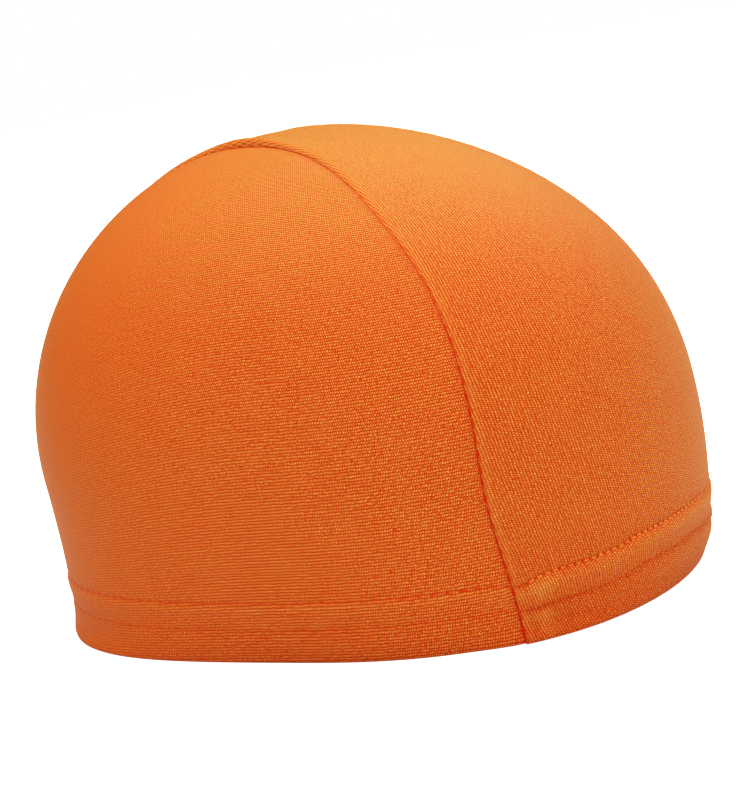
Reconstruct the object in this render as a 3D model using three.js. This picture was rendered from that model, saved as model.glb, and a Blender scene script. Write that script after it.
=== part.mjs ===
// Cycling skull cap: a thin stretch-knit cap of three panels, in the shape it has on a head.
// Millimetres, +Z up, front towards -Y, the wearer's right towards -X, standing on its hem at z = 0.
import * as THREE from "three";
import { mergeVertices } from "three/addons/utils/BufferGeometryUtils.js";

// Driving dimensions
const CAP_HEIGHT = 125.5; // hem to crown
const WALL = 1.1; // one layer of cloth
const HEM_WALL = 2.2; // the edge is turned up inside, so the hem is two layers
const HEM_DEPTH = 16.2; // height of the upper row of stitches, where the turned-up layer ends
const HEM_STEP = 1.8; // the inner step above the turned-up edge
const SEAM_GAP = 0.4; // clear space between neighbouring panels, measured across the cap
const CROWN_BACK = 14.5; // the crown lies this far behind the middle of the hem
const UNDER_SHARE = 0.3; // share of the way from hem to crown that lies below the widest line

// Plan of the cap, read round from the front: distance from the upright axis at the hem and at the widest line,
// the height of the widest line, and how full the dome is above it (2 is an ellipse, more is squarer).
const PLAN = [
  { at: 0, hem: 93, widest: 98, height: 45.5, fullness: 2.25 }, // forehead
  { at: 45, hem: 82.5, widest: 87, height: 42, fullness: 2.1 }, // temple
  { at: 90, hem: 76.5, widest: 79.5, height: 41.5, fullness: 2 }, // ear
  { at: 135, hem: 92, widest: 90.5, height: 43.5, fullness: 1.93 }, // behind the ear
  { at: 180, hem: 87.5, widest: 88, height: 46.5, fullness: 1.86 }, // nape
];

// Half of the centre panel's width, along the strip from the front hem (0) to the back hem (1).
const STRIP = [
  { along: 0, half: 43.5 }, // front hem
  { along: 0.13, half: 48 }, // widest line at the forehead
  { along: 0.32, half: 35.3 }, // above the forehead
  { along: 0.5, half: 15.5 }, // its waist on the crown
  { along: 0.68, half: 25 }, // behind the crown
  { along: 0.87, half: 33 }, // widest line at the nape
  { along: 1, half: 39.5 }, // back hem
];

// Relief of the hem: how far the cloth stands out of the plain wall at a height above the edge.
const HEM_RELIEF = [
  { height: 0, out: -0.3 }, // rolled bottom edge
  { height: 1.6, out: 0.2 },
  { height: 5.4, out: 0.5 }, // soft fold below the lower row
  { height: 9.3, out: 0 }, // lower row of stitches
  { height: 12.8, out: 0.9 }, // puffed band between the rows
  { height: HEM_DEPTH, out: 0 }, // upper row of stitches
  { height: HEM_DEPTH + HEM_STEP, out: 0 },
];

// Relief of the centre panel beside a seam, whose allowances are pressed under it.
const SEAM_RELIEF = [
  { away: 0, out: 0.2 },
  { away: 1.6, out: 0.9 },
  { away: 4.5, out: 0.5 },
  { away: 8, out: 0 },
];

// Number of faces
const SIDE_COLUMNS = 30;
const SIDE_ROWS = 16;
const STRIP_COLUMNS = 6; // between the two seam reliefs
const STRIP_ROWS = 34; // from the front hem band to the back one

const RIGHT_ANGLE = Math.PI / 2;
const CLOTH = { color: 0xe8702a, roughness: 0.85, metalness: 0 };

// Smooth value through the plan's five rows, even about the front-to-back plane.
function roundPlan(column, turn) {
  const v = PLAN.map((row) => row[column]);
  const mean = (v[0] + 2 * v[1] + 2 * v[2] + 2 * v[3] + v[4]) / 8;
  const first = (v[0] - v[4]) / 4 + (v[1] - v[3]) * Math.SQRT1_2 / 2;
  const second = (v[0] - 2 * v[2] + v[4]) / 4;
  const third = (v[0] - v[4]) / 4 - (v[1] - v[3]) * Math.SQRT1_2 / 2;
  const fourth = (v[0] - 2 * v[1] + 2 * v[2] - 2 * v[3] + v[4]) / 8;
  return mean + first * Math.cos(turn) + second * Math.cos(2 * turn)
    + third * Math.cos(3 * turn) + fourth * Math.cos(4 * turn);
}

// Smooth curve through a table's rows: a cubic whose slope at each row follows its neighbours.
function along(table, key, value, x) {
  const last = table.length - 1;
  if (x <= table[0][key]) return table[0][value];
  if (x >= table[last][key]) return table[last][value];
  const i = table.findIndex((row) => row[key] > x) - 1;
  const slope = (j) => {
    const a = table[Math.max(j - 1, 0)];
    const b = table[Math.min(j + 1, last)];
    return (b[value] - a[value]) / (b[key] - a[key]);
  };
  const from = table[i];
  const to = table[i + 1];
  const span = to[key] - from[key];
  const t = (x - from[key]) / span;
  return from[value] * (1 + 2 * t) * (1 - t) ** 2 + slope(i) * span * t * (1 - t) ** 2
    + to[value] * t * t * (3 - 2 * t) + slope(i + 1) * span * t * t * (t - 1);
}

// A place on the cap is a turn about its axis (0 at the front, positive to the wearer's right) and a climb, from 0
// at the hem through UNDER_SHARE at the widest line to 1 at the crown.
function capPoint(turn, climb) {
  const hem = roundPlan("hem", turn);
  const widest = roundPlan("widest", turn);
  const height = roundPlan("height", turn);
  let reach;
  let z;
  if (climb < UNDER_SHARE) {
    const t = climb / UNDER_SHARE;
    reach = hem + (widest - hem) * Math.sin(t * RIGHT_ANGLE);
    z = height * t;
  } else {
    const lift = Math.min((climb - UNDER_SHARE) / (1 - UNDER_SHARE), 1) * RIGHT_ANGLE;
    const power = 2 / domeFullness(turn, lift);
    reach = widest * Math.max(Math.cos(lift), 0) ** power;
    z = height + (CAP_HEIGHT - height) * Math.sin(lift) ** power;
  }
  const back = CROWN_BACK * Math.max(z / CAP_HEIGHT, 0) ** 1.5;
  return new THREE.Vector3(-reach * Math.sin(turn), back - reach * Math.cos(turn), z);
}

// The dome's fullness fades to an ellipse's at the crown, so that the crown is round.
function domeFullness(turn, lift) {
  return 2 + (roundPlan("fullness", turn) - 2) * Math.cos(lift);
}

// The same place on a flat chart, whose middle is the crown and whose rim is the hem.
function chartOf(turn, climb) {
  return [(1 - climb) * Math.sin(turn), -(1 - climb) * Math.cos(turn)];
}

function chartPoint(x, y) {
  return capPoint(Math.atan2(x, -y), 1 - Math.hypot(x, y));
}

function chartNormal(x, y) {
  const step = 1e-4;
  const toRight = chartPoint(x + step, y).sub(chartPoint(x - step, y));
  const toBack = chartPoint(x, y + step).sub(chartPoint(x, y - step));
  return toBack.cross(toRight).normalize();
}

function climbAt(turn, z) {
  return UNDER_SHARE * z / roundPlan("height", turn);
}

// The turn at which the wall at this height stands a given distance to the side of the middle.
function turnAtSide(side, z, atBack) {
  let turn = atBack ? Math.PI : 0;
  for (let i = 0; i < 20; i++) {
    const t = z / roundPlan("height", turn);
    const hem = roundPlan("hem", turn);
    const reach = hem + (roundPlan("widest", turn) - hem) * Math.sin(Math.min(t, 1) * RIGHT_ANGLE);
    const lean = Math.asin(side / reach);
    turn = atBack ? Math.PI - lean : lean;
  }
  return turn;
}

// The seam on the wearer's right, from the front hem (0) to the back hem (1), as a turn and a climb.
// aside moves the line off the seam, towards the ear when it is positive.
const FRONT_SHARE = STRIP[1].along;
function seamAt(part, aside) {
  const side = along(STRIP, "along", "half", part) + aside;
  const atBack = part > 0.5;
  const fromHem = (atBack ? 1 - part : part) / FRONT_SHARE;
  if (fromHem < 1) {
    let turn = turnAtSide(side, 0, atBack);
    for (let i = 0; i < 4; i++) turn = turnAtSide(side, fromHem * roundPlan("height", turn), atBack);
    return { turn, climb: UNDER_SHARE * fromHem };
  }
  const reachAt = (turn) => roundPlan("widest", turn) * Math.cos(turn);
  const front = -reachAt(turnAtSide(side, roundPlan("height", 0), false));
  const back = -reachAt(turnAtSide(side, roundPlan("height", Math.PI), true));
  const swing = (part - 0.5) / (0.5 - FRONT_SHARE) * RIGHT_ANGLE;
  const y = (front + back) / 2 + (back - front) / 2 * Math.sin(swing);
  const turn = Math.atan2(side, -y);
  const share = Math.min(Math.hypot(side, y) / roundPlan("widest", turn), 1);
  let lift = Math.acos(share);
  for (let i = 0; i < 30; i++) lift = Math.acos(share ** (domeFullness(turn, lift) / 2));
  return { turn, climb: UNDER_SHARE + (1 - UNDER_SHARE) * lift / RIGHT_ANGLE };
}

// The share along the seam at which it stands at a height above the hem.
function seamShareAt(z, atBack) {
  const height = roundPlan("height", turnAtSide(along(STRIP, "along", "half", atBack ? 1 : 0), 0, atBack));
  const share = FRONT_SHARE * z / height;
  return atBack ? 1 - share : share;
}

// A panel is a sheet of faces over a grid of places on the cap: its outer skin follows the cap and the relief, its
// inner skin lies one wall inside, and a rim joins the two. Below the turned-up edge the wall is the hem's.
function panel(name, places) {
  const rows = places.length;
  const columns = places[0].length;
  const outer = [];
  const inner = [];
  for (const row of places) {
    for (const { x, y, relief } of row) {
      const p = chartPoint(x, y);
      const n = chartNormal(x, y);
      const upright = THREE.MathUtils.smoothstep(p.z, HEM_DEPTH + HEM_STEP, 2 * HEM_DEPTH);
      n.z *= upright;
      n.normalize();
      const wall = p.z < HEM_DEPTH + 0.1 ? HEM_WALL : WALL;
      outer.push(p.clone().addScaledVector(n, relief));
      inner.push(p.clone().addScaledVector(n, -wall));
    }
  }
  const corners = [...outer, ...inner];
  const faces = [];
  const quad = (a, b, c, d) => faces.push(a, b, c, a, c, d);
  const under = outer.length;
  for (let j = 0; j + 1 < rows; j++) {
    for (let i = 0; i + 1 < columns; i++) {
      const a = j * columns + i;
      quad(a, a + 1, a + columns + 1, a + columns);
      quad(under + a, under + a + columns, under + a + columns + 1, under + a + 1);
    }
  }
  const rim = [];
  for (let i = 0; i < columns - 1; i++) rim.push(i);
  for (let j = 0; j < rows - 1; j++) rim.push(j * columns + columns - 1);
  for (let i = columns - 1; i > 0; i--) rim.push((rows - 1) * columns + i);
  for (let j = rows - 1; j > 0; j--) rim.push(j * columns);
  rim.forEach((a, k) => {
    const b = rim[(k + 1) % rim.length];
    quad(a, under + a, under + b, b);
  });
  const geometry = new THREE.BufferGeometry();
  geometry.setAttribute("position", new THREE.Float32BufferAttribute(corners.flatMap((p) => p.toArray()), 3));
  geometry.setIndex(faces);
  const mesh = new THREE.Mesh(mergeVertices(geometry, 1e-3), new THREE.MeshStandardMaterial(CLOTH));
  mesh.name = name;
  return mesh;
}

function hemRelief(z) {
  return z > HEM_DEPTH + HEM_STEP ? 0 : along(HEM_RELIEF, "height", "out", z);
}

const HEM_HEIGHTS = HEM_RELIEF.map((row) => row.height);
const BAND_TOP = HEM_HEIGHTS[HEM_HEIGHTS.length - 1];

// A side panel: rows of one height through the hem, then rows that spread up to the seam over the crown.
// Its lower corners lie at the feet of the seam, its upper corners where the seam leaves the forehead and the nape.
const SIDE_CORNER = 0.27;
function sidePanel() {
  const edge = SEAM_GAP / 2;
  const frontFoot = seamShareAt(BAND_TOP, false);
  const backFoot = seamShareAt(BAND_TOP, true);
  const places = [];
  for (const z of HEM_HEIGHTS) {
    const front = turnAtSide(seamSide(z, false) + edge, z, false);
    const back = turnAtSide(seamSide(z, true) + edge, z, true);
    places.push(spread(SIDE_COLUMNS, (s) => {
      const turn = front + (back - front) * s;
      return place(turn, climbAt(turn, z), hemRelief(z));
    }));
  }
  const low = places[places.length - 1].map((p) => ({ turn: p.turn, climb: p.climb }));
  const high = spread(SIDE_COLUMNS, (s) => seamAt(SIDE_CORNER + (1 - 2 * SIDE_CORNER) * s, edge));
  for (let j = 1; j <= SIDE_ROWS; j++) {
    const t = j / SIDE_ROWS;
    const front = seamAt(frontFoot + (SIDE_CORNER - frontFoot) * t, edge);
    const back = seamAt(backFoot + (1 - SIDE_CORNER - backFoot) * t, edge);
    places.push(spread(SIDE_COLUMNS, (s, i) => {
      const blend = (key) => (1 - t) * low[i][key] + t * high[i][key]
        + (1 - s) * front[key] + s * back[key]
        - (1 - s) * ((1 - t) * low[0][key] + t * high[0][key])
        - s * ((1 - t) * low[SIDE_COLUMNS][key] + t * high[SIDE_COLUMNS][key]);
      return place(blend("turn"), blend("climb"), 0);
    }));
  }
  return places;
}

// Half of the centre panel's width at a height in the hem.
function seamSide(z, atBack) {
  return along(STRIP, "along", "half", seamShareAt(z, atBack));
}

function place(turn, climb, relief) {
  const [x, y] = chartOf(turn, climb);
  return { x, y, relief, turn, climb };
}

function spread(count, make) {
  return Array.from({ length: count + 1 }, (_, i) => make(i / count, i));
}

// The centre panel: cross rows from the front hem to the back hem, level in the hem and straight over the crown.
function centrePanel() {
  const frontRows = HEM_HEIGHTS.map((z) => ({ share: seamShareAt(z, false), z }));
  const backRows = HEM_HEIGHTS.map((z) => ({ share: seamShareAt(z, true), z })).reverse();
  const from = frontRows[frontRows.length - 1].share;
  const to = backRows[0].share;
  const middle = spread(STRIP_ROWS, (t) => ({ share: from + (to - from) * t, z: null })).slice(1, -1);
  const reach = SEAM_RELIEF[SEAM_RELIEF.length - 1].away;
  return [...frontRows, ...middle, ...backRows].map(({ share, z }) => {
    const half = along(STRIP, "along", "half", share) - SEAM_GAP / 2;
    const sides = [
      ...SEAM_RELIEF.slice(0, -1).map((row) => half - row.away),
      ...spread(STRIP_COLUMNS, (s) => (half - reach) * (1 - 2 * s)),
      ...SEAM_RELIEF.slice(0, -1).map((row) => row.away - half).reverse(),
    ];
    const rim = z === null ? seamAt(share, -SEAM_GAP / 2) : null;
    return sides.map((side) => {
      const relief = along(SEAM_RELIEF, "away", "out", half - Math.abs(side));
      if (z !== null) {
        const turn = (side < 0 ? -1 : 1) * turnAtSide(Math.abs(side), z, share > 0.5);
        return place(turn, climbAt(turn, z), relief + hemRelief(z));
      }
      return crossPlace(rim, side / half, relief);
    });
  });
}

// A place on a cross row that ends at a seam: across goes from 1 at the right seam to -1 at the left one. The row
// keeps its distance to the crown low on the cap and runs straight across the crown.
function crossPlace(rim, across, relief) {
  const [x, y] = chartOf(rim.turn, rim.climb);
  const round = THREE.MathUtils.smoothstep(Math.hypot(x, y), 0.15, 1 - UNDER_SHARE);
  const level = Math.sign(y) * Math.sqrt(x * x + y * y - (x * across) ** 2);
  const depth = round * level + (1 - round) * y;
  const chartX = x * across;
  return { x: chartX, y: depth, relief };
}

const cap = new THREE.Group();
const left = sidePanel().map((row) => row.map((p) => ({ ...p, x: -p.x })));
const right = left.map((row) => row.map((p) => ({ ...p, x: -p.x })).reverse());
cap.add(panel("side_panel_right", right), panel("side_panel_left", left), panel("centre_panel", centrePanel()));

// The origin is the middle of the cap's length and width, on the floor.
const box = new THREE.Box3().setFromObject(cap);
cap.children.forEach((mesh) => mesh.geometry.translate(0, -(box.min.y + box.max.y) / 2, 0));

export default cap;
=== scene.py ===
# Cycling skull cap: three panels of stretch knit, seamed together, with the edge turned up and sewn.
import math
from functools import partial

import bmesh
import bpy
import numpy as np
from mathutils import Matrix, Vector
from mathutils.kdtree import KDTree


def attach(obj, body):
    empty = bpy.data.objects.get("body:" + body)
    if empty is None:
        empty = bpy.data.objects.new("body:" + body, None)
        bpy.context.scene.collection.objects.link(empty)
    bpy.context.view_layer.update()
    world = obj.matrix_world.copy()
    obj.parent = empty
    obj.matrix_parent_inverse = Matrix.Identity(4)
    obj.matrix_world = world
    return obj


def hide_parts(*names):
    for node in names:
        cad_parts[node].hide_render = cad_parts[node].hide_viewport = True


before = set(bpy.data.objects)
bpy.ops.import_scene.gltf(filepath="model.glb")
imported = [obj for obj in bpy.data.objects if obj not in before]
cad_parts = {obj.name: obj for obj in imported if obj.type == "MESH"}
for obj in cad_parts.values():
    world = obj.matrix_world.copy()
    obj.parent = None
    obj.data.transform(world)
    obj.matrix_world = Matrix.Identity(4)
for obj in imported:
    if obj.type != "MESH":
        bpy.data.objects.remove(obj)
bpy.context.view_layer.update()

# The cap's form
# The cap keeps the shape it has on a head. Its cloth lies on a dome whose outline is given in a plan, read
# round from the forehead to the nape, in millimetres: how far the hem and the widest line stand from the
# upright axis, how high the widest line is, and how full the dome is above it.
MM = 0.001
CAP_HEIGHT = 125.5
CROWN_BACK, BACK_CURVE = 14.5, 1.5  # how far the dome leans back, and the power of that curve
UNDER_SHARE = 0.3  # share of the climb to the crown that lies below the widest line
AXIS_BACK = 2.04  # the axis stands this far behind the middle of the cap's length
PLAN = [
    {"at": 0, "hem": 93, "widest": 98, "height": 45.5, "fullness": 2.25},
    {"at": 45, "hem": 82.5, "widest": 87, "height": 42, "fullness": 2.1},
    {"at": 90, "hem": 76.5, "widest": 79.5, "height": 41.5, "fullness": 2},
    {"at": 135, "hem": 92, "widest": 90.5, "height": 43.5, "fullness": 1.93},
    {"at": 180, "hem": 87.5, "widest": 88, "height": 46.5, "fullness": 1.86},
]
# Half of the centre panel's width, along its seam from the front hem (0) to the back hem (1).
STRIP = [(0, 43.5), (0.13, 48), (0.32, 35.3), (0.5, 15.5), (0.68, 25), (0.87, 33), (1, 39.5)]
WIDEST_SHARE = STRIP[1][0]  # share of the seam from either hem up to the widest line
RIGHT_ANGLE = math.pi / 2
WALL_UPRIGHT_TO = 18  # the relief stands out level up to here,
WALL_LEANS_FROM = 32.4  # and straight out of the cloth from here up
TURN_ROUNDS, HEIGHT_ROUNDS, LIFT_ROUNDS = 20, 4, 30  # rounds in which a place settles


def round_plan(column, turn):
    """Smooth value through the plan's five rows at a turn from the forehead, the same on both sides."""
    rows = np.array([row[column] for row in PLAN], float)
    at = np.radians([row["at"] for row in PLAN])
    waves = np.linalg.solve(np.cos(np.outer(at, np.arange(5))), rows)
    return np.cos(np.multiply.outer(np.asarray(turn, float), np.arange(5))) @ waves


def through(table, x):
    """Smooth curve through a table of (place, value) rows, each slope taken from the row's neighbours."""
    place, value = np.array(table, float).T
    slope = np.gradient(value, place)
    slope[1:-1] = (value[2:] - value[:-2]) / (place[2:] - place[:-2])
    x = np.clip(x, place[0], place[-1])
    i = np.clip(np.searchsorted(place, x, side="right") - 1, 0, len(place) - 2)
    span = place[i + 1] - place[i]
    t = (x - place[i]) / span
    return (value[i] * (1 + 2 * t) * (1 - t) ** 2 + slope[i] * span * t * (1 - t) ** 2
            + value[i + 1] * t * t * (3 - 2 * t) + slope[i + 1] * span * t * t * (t - 1))


def smooth(x, start, end):
    """Rises gently from 0 at start to 1 at end."""
    t = np.clip((x - start) / (end - start), 0, 1)
    return t * t * (3 - 2 * t)


def bump(x, width):
    """A soft hump of height 1 round x = 0."""
    return np.exp(-(x / width) ** 2)


def hump(x, height, middle, width):
    """A soft hump of the given height round x = middle."""
    return height * bump(x - middle, width)


def rising(x, height, start, end):
    """Rises gently from 0 at start to the given height at end."""
    return height * smooth(x, start, end)


def fading(x, height, start, end):
    """Falls gently from the given height at start to 0 at end."""
    return height * (1 - smooth(x, start, end))


def dome_fullness(turn, lift):
    """The power that shapes the dome above its widest line: 2 is an ellipse, and more is squarer."""
    return 2 + (round_plan("fullness", turn) - 2) * np.cos(lift)


def dome_point(turn, climb):
    """The dome's point at a turn from the forehead to the wearer's right and a climb from hem to crown."""
    hem, widest, height = (round_plan(column, turn) for column in ("hem", "widest", "height"))
    low = np.clip(climb / UNDER_SHARE, 0, 1)
    lift = np.clip((climb - UNDER_SHARE) / (1 - UNDER_SHARE), 0, 1) * RIGHT_ANGLE
    power = 2 / dome_fullness(turn, lift)
    under = climb < UNDER_SHARE
    reach = np.where(under, hem + (widest - hem) * np.sin(low * RIGHT_ANGLE), widest * np.cos(lift) ** power)
    z = np.where(under, height * low, height + (CAP_HEIGHT - height) * np.sin(lift) ** power)
    back = CROWN_BACK * (z / CAP_HEIGHT) ** BACK_CURVE + AXIS_BACK
    return np.stack([-reach * np.sin(turn), back - reach * np.cos(turn), z], -1)


def chart_point(x, y):
    """The same dome on a flat chart, whose middle is the crown and whose rim is the hem."""
    return dome_point(np.arctan2(x, -y), np.clip(1 - np.hypot(x, y), 0, 1))


def outward(turn, climb):
    """The dome's outward direction, level in the hem so that the hem's rows stay level."""
    step = 1e-4
    x, y = (1 - climb) * np.sin(turn), -(1 - climb) * np.cos(turn)
    shrink = np.minimum(1, (1 - step) / np.maximum(np.hypot(x, y), 1e-9))
    x, y = x * shrink, y * shrink
    to_right = chart_point(x + step, y) - chart_point(x - step, y)
    to_back = chart_point(x, y + step) - chart_point(x, y - step)
    n = np.cross(to_back, to_right)
    n /= np.linalg.norm(n, axis=-1, keepdims=True)
    n[..., 2] *= smooth(dome_point(turn, climb)[..., 2], WALL_UPRIGHT_TO, WALL_LEANS_FROM)
    return n / np.linalg.norm(n, axis=-1, keepdims=True)


def climb_at(turn, z):
    """The climb at which the dome's wall, below its widest line, reaches height z."""
    return UNDER_SHARE * z / round_plan("height", turn)


def turn_at_side(side, z, at_back):
    """The turn at which the wall at height z stands a distance to the side of the middle."""
    turn = np.zeros_like(side + z) + np.where(at_back, math.pi, 0)
    for _ in range(TURN_ROUNDS):
        low = np.minimum(z / round_plan("height", turn), 1)
        hem = round_plan("hem", turn)
        reach = hem + (round_plan("widest", turn) - hem) * np.sin(low * RIGHT_ANGLE)
        lean = np.arcsin(side / reach)
        turn = np.where(at_back, math.pi - lean, lean)
    return turn


def seam_at(share, aside):
    """The right seam's turn and climb, from front hem (0) to back hem (1); aside is towards the ear."""
    side = through(STRIP, share) + aside
    at_back = share > 0.5
    from_hem = np.where(at_back, 1 - share, share) / WIDEST_SHARE
    low_turn = turn_at_side(side, np.zeros_like(side), at_back)
    for _ in range(HEIGHT_ROUNDS):
        low_turn = turn_at_side(side, np.minimum(from_hem, 1) * round_plan("height", low_turn), at_back)
    ends = []
    for behind in (False, True):
        height = round_plan("height", math.pi if behind else 0.0)
        edge = turn_at_side(side, np.full_like(side, height), behind)
        ends.append(-round_plan("widest", edge) * np.cos(edge))
    swing = np.clip((share - 0.5) / (0.5 - WIDEST_SHARE), -1, 1) * RIGHT_ANGLE
    y = (ends[0] + ends[1]) / 2 + (ends[1] - ends[0]) / 2 * np.sin(swing)
    turn = np.arctan2(side, -y)
    reach = np.minimum(np.hypot(side, y) / round_plan("widest", turn), 1)
    lift = np.arccos(reach)
    for _ in range(LIFT_ROUNDS):
        lift = np.arccos(reach ** (dome_fullness(turn, lift) / 2))
    climb = UNDER_SHARE + (1 - UNDER_SHARE) * lift / RIGHT_ANGLE
    low = from_hem < 1
    return np.where(low, low_turn, turn), np.where(low, UNDER_SHARE * from_hem, climb)


def seam_share_at(z, at_back):
    """The share along the seam at which it stands at height z."""
    side = np.array(STRIP[-1 if at_back else 0][1], float)
    share = WIDEST_SHARE * z / round_plan("height", turn_at_side(side, 0 * side, at_back))
    return 1 - share if at_back else share


# The seam's line in fine steps, with the length along it.
SEAM_STEPS = 2400
SEAM_SHARES = np.linspace(0, 1, SEAM_STEPS)
seam_line = dome_point(*seam_at(SEAM_SHARES, 0.0))
seam_length = np.concatenate([[0], np.cumsum(np.linalg.norm(np.diff(seam_line, axis=0), axis=1))])
seam_tree = KDTree(len(seam_line))
for i, point in enumerate(seam_line):
    seam_tree.insert(point, i)
seam_tree.balance()


def near_seam(points):
    """How far along and how far away from the nearest seam each point lies."""
    flat = points.reshape(-1, 3).copy()
    flat[:, 0] = -np.abs(flat[:, 0])
    found = [seam_tree.find(point) for point in flat]
    along = seam_length[[index for nearest, index, distance in found]]
    away = np.array([distance for nearest, index, distance in found])
    return along.reshape(points.shape[:-1]), away.reshape(points.shape[:-1])


# Knit
# All three panels are cut from one fine ribbed knit of polyester and elastane, dyed orange: rounded ribs
# with redder furrows between them, each a column of small loops whose tops catch the light, shown as a
# painted highlight.
RIB = 0.77  # width of one rib
LOOP = 0.6  # height of one loop along a rib
WANDER = {"scale": 0.55, "aside": 0.6, "along": 1.6}  # how the ribs and loops stray from straight rows
LOOP_SLANT = 0.25  # a loop's sides stand this share of it ahead of its middle
LOOP_OFFSET = 0.5  # and the next rib's loops this share beside it
RIB_CREST, RIB_WIDER = 1.15, 0.6  # fullness of a rib, and how much more at a loop
BEAD_SHARP, BEAD_LOW = 2.4, 0.06  # how sharp a loop's bright top is, and what is left between
FUZZ = {"scale": 1.3, "spread": 3.2, "start": -0.85}  # uneven brightness of the loops' painted highlights
LOOP_HEIGHT = 0.18  # share of the relief in the loops; the ribs have the rest
CLOUD = {"scale": 0.12, "spread": 0.1, "start": -0.035}  # broad uneven dyeing
# the furrows' red, which is also the colour that painted shade darkens the knit towards
FURROW = (0.54, 0.010, 0.0004, 1)
RIB_FACE = (0.88, 0.068, 0.002, 1)
# painted highlight: the pale colour painted on the loops' tops where light catches them; also the paler dye
LOOP_TOP = (1.0, 0.66, 0.14, 1)
EVEN = (0.80, 0.150, 0.018, 1)  # the knit seen as one colour
PULLED = (0.80, 0.026, 0.001, 1)  # where thread draws the cloth in
STRAND = (1.0, 0.47, 0.09, 1)  # ribs that are drawn tight beside a seam
STRAND_SLANT, STRAND_SHARE = 1.35, 0.75
STITCH = 3.5  # length of one stitch
UPPER_ROW = {"Furrow": 0.26, "Nick": 0.44}  # half widths of a row's furrow and nicks
LOWER_ROW = {"Furrow": 0.24, "Nick": 0.3}
SEAM_ROW = {"Furrow": 0.23, "Nick": 0.5}
HEM_FURROW, SEAM_FURROW = 0.3, 0.65  # strength of the furrows
LOWER_NICKS = 0.75  # strength of the lower row's nicks beside the upper one's
NICK_LONG = 1.6  # a nick is this much longer than wide
NICK_UNEVEN = {"scale": 0.8, "spread": 1.4, "start": 0.15}
MOST_PULLED = 0.92
PULL_SINKS = -0.9  # depth of the pull beside the height of the ribs


def put(tree, value, socket):
    """Sets a socket to a number or colour, or links it."""
    if isinstance(value, bpy.types.NodeSocket):
        tree.links.new(value, socket)
    else:
        socket.default_value = value


def math_node(tree, operation, *values):
    """A Math node on sockets or numbers."""
    made = tree.nodes.new("ShaderNodeMath")
    made.operation = operation
    for socket, value in zip(made.inputs, values):
        put(tree, value, socket)
    return made.outputs[0]


def mix_node(tree, share, a, b):
    made = tree.nodes.new("ShaderNodeMix")
    made.data_type = "RGBA"
    for socket, value in ((made.inputs[0], share), (made.inputs[6], a), (made.inputs[7], b)):
        put(tree, value, socket)
    return made.outputs[2]


def noise_node(tree, place, scale, detail):
    made = tree.nodes.new("ShaderNodeTexNoise")
    made.inputs["Scale"].default_value = scale
    made.inputs["Detail"].default_value = detail
    tree.links.new(place, made.inputs["Vector"])
    return made.outputs[0]


def spread_noise(tree, place, detail, look):
    """A noise stretched to its spread, above its start."""
    noise = noise_node(tree, place, look["scale"], detail)
    return math_node(tree, "MULTIPLY_ADD", noise, look["spread"], look["start"])


def split_node(tree, vector):
    made = tree.nodes.new("ShaderNodeSeparateXYZ")
    tree.links.new(vector, made.inputs[0])
    return made.outputs


def new_group(name, inputs, outputs):
    """A new node group, its entry and its exit."""
    tree = bpy.data.node_groups.new(name, "ShaderNodeTree")
    for label, kind in inputs:
        tree.interface.new_socket(label, in_out="INPUT", socket_type=kind)
    for label in outputs:
        tree.interface.new_socket(label, in_out="OUTPUT", socket_type="NodeSocketFloat")
    return tree, tree.nodes.new("NodeGroupInput"), tree.nodes.new("NodeGroupOutput")


def group_node(tree, group, **inputs):
    """A node group with its inputs set or linked, and its outputs."""
    made = tree.nodes.new("ShaderNodeGroup")
    made.node_tree = group
    for label, value in inputs.items():
        put(tree, value, made.inputs[label])
    return made.outputs


def knit_group():
    """Ribs and loops over a place on the cloth, given in millimetres along and across the ribs."""
    tree, entry, leave = new_group("rib_knit", [("Cloth", "NodeSocketVector")],
                                   ["Face", "Tip", "Height", "Cloud"])
    calc = partial(math_node, tree)
    cloth = entry.outputs["Cloth"]
    along, across = split_node(tree, cloth)[:2]
    sway = calc("SUBTRACT", noise_node(tree, cloth, WANDER["scale"], 2), 0.5)
    rib = calc("DIVIDE", calc("MULTIPLY_ADD", sway, WANDER["aside"], across), RIB)
    side = calc("SUBTRACT", calc("FRACT", rib), 0.5)
    off = calc("MULTIPLY", calc("ABSOLUTE", side), 2.0)
    step = calc("MULTIPLY_ADD", off, LOOP_SLANT, calc("DIVIDE", along, LOOP))
    step = calc("MULTIPLY_ADD", calc("FLOOR", rib), LOOP_OFFSET, step)
    step = calc("MULTIPLY_ADD", sway, WANDER["along"], step)
    wave = calc("SINE", calc("MULTIPLY", step, 2 * math.pi))
    loop = calc("MULTIPLY_ADD", wave, 0.5, 0.5)
    fullness = calc("MULTIPLY_ADD", loop, RIB_WIDER, RIB_CREST)
    face = calc("SUBTRACT", 1.0, calc("POWER", off, fullness))
    beads = calc("MULTIPLY_ADD", calc("POWER", loop, BEAD_SHARP), 1 - BEAD_LOW, BEAD_LOW)
    fuzz = spread_noise(tree, cloth, 3, FUZZ)
    # painted highlight: how much of each loop's top is painted pale
    tip = calc("MULTIPLY", calc("MULTIPLY", beads, face), fuzz)
    rib_height = calc("MULTIPLY", face, 1 - LOOP_HEIGHT)
    height = calc("MULTIPLY_ADD", loop, LOOP_HEIGHT, rib_height)
    cloud = spread_noise(tree, cloth, 3, CLOUD)
    for label, value in (("Face", face), ("Tip", tip), ("Height", height), ("Cloud", cloud)):
        tree.links.new(value, leave.inputs[label])
    return tree


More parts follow.
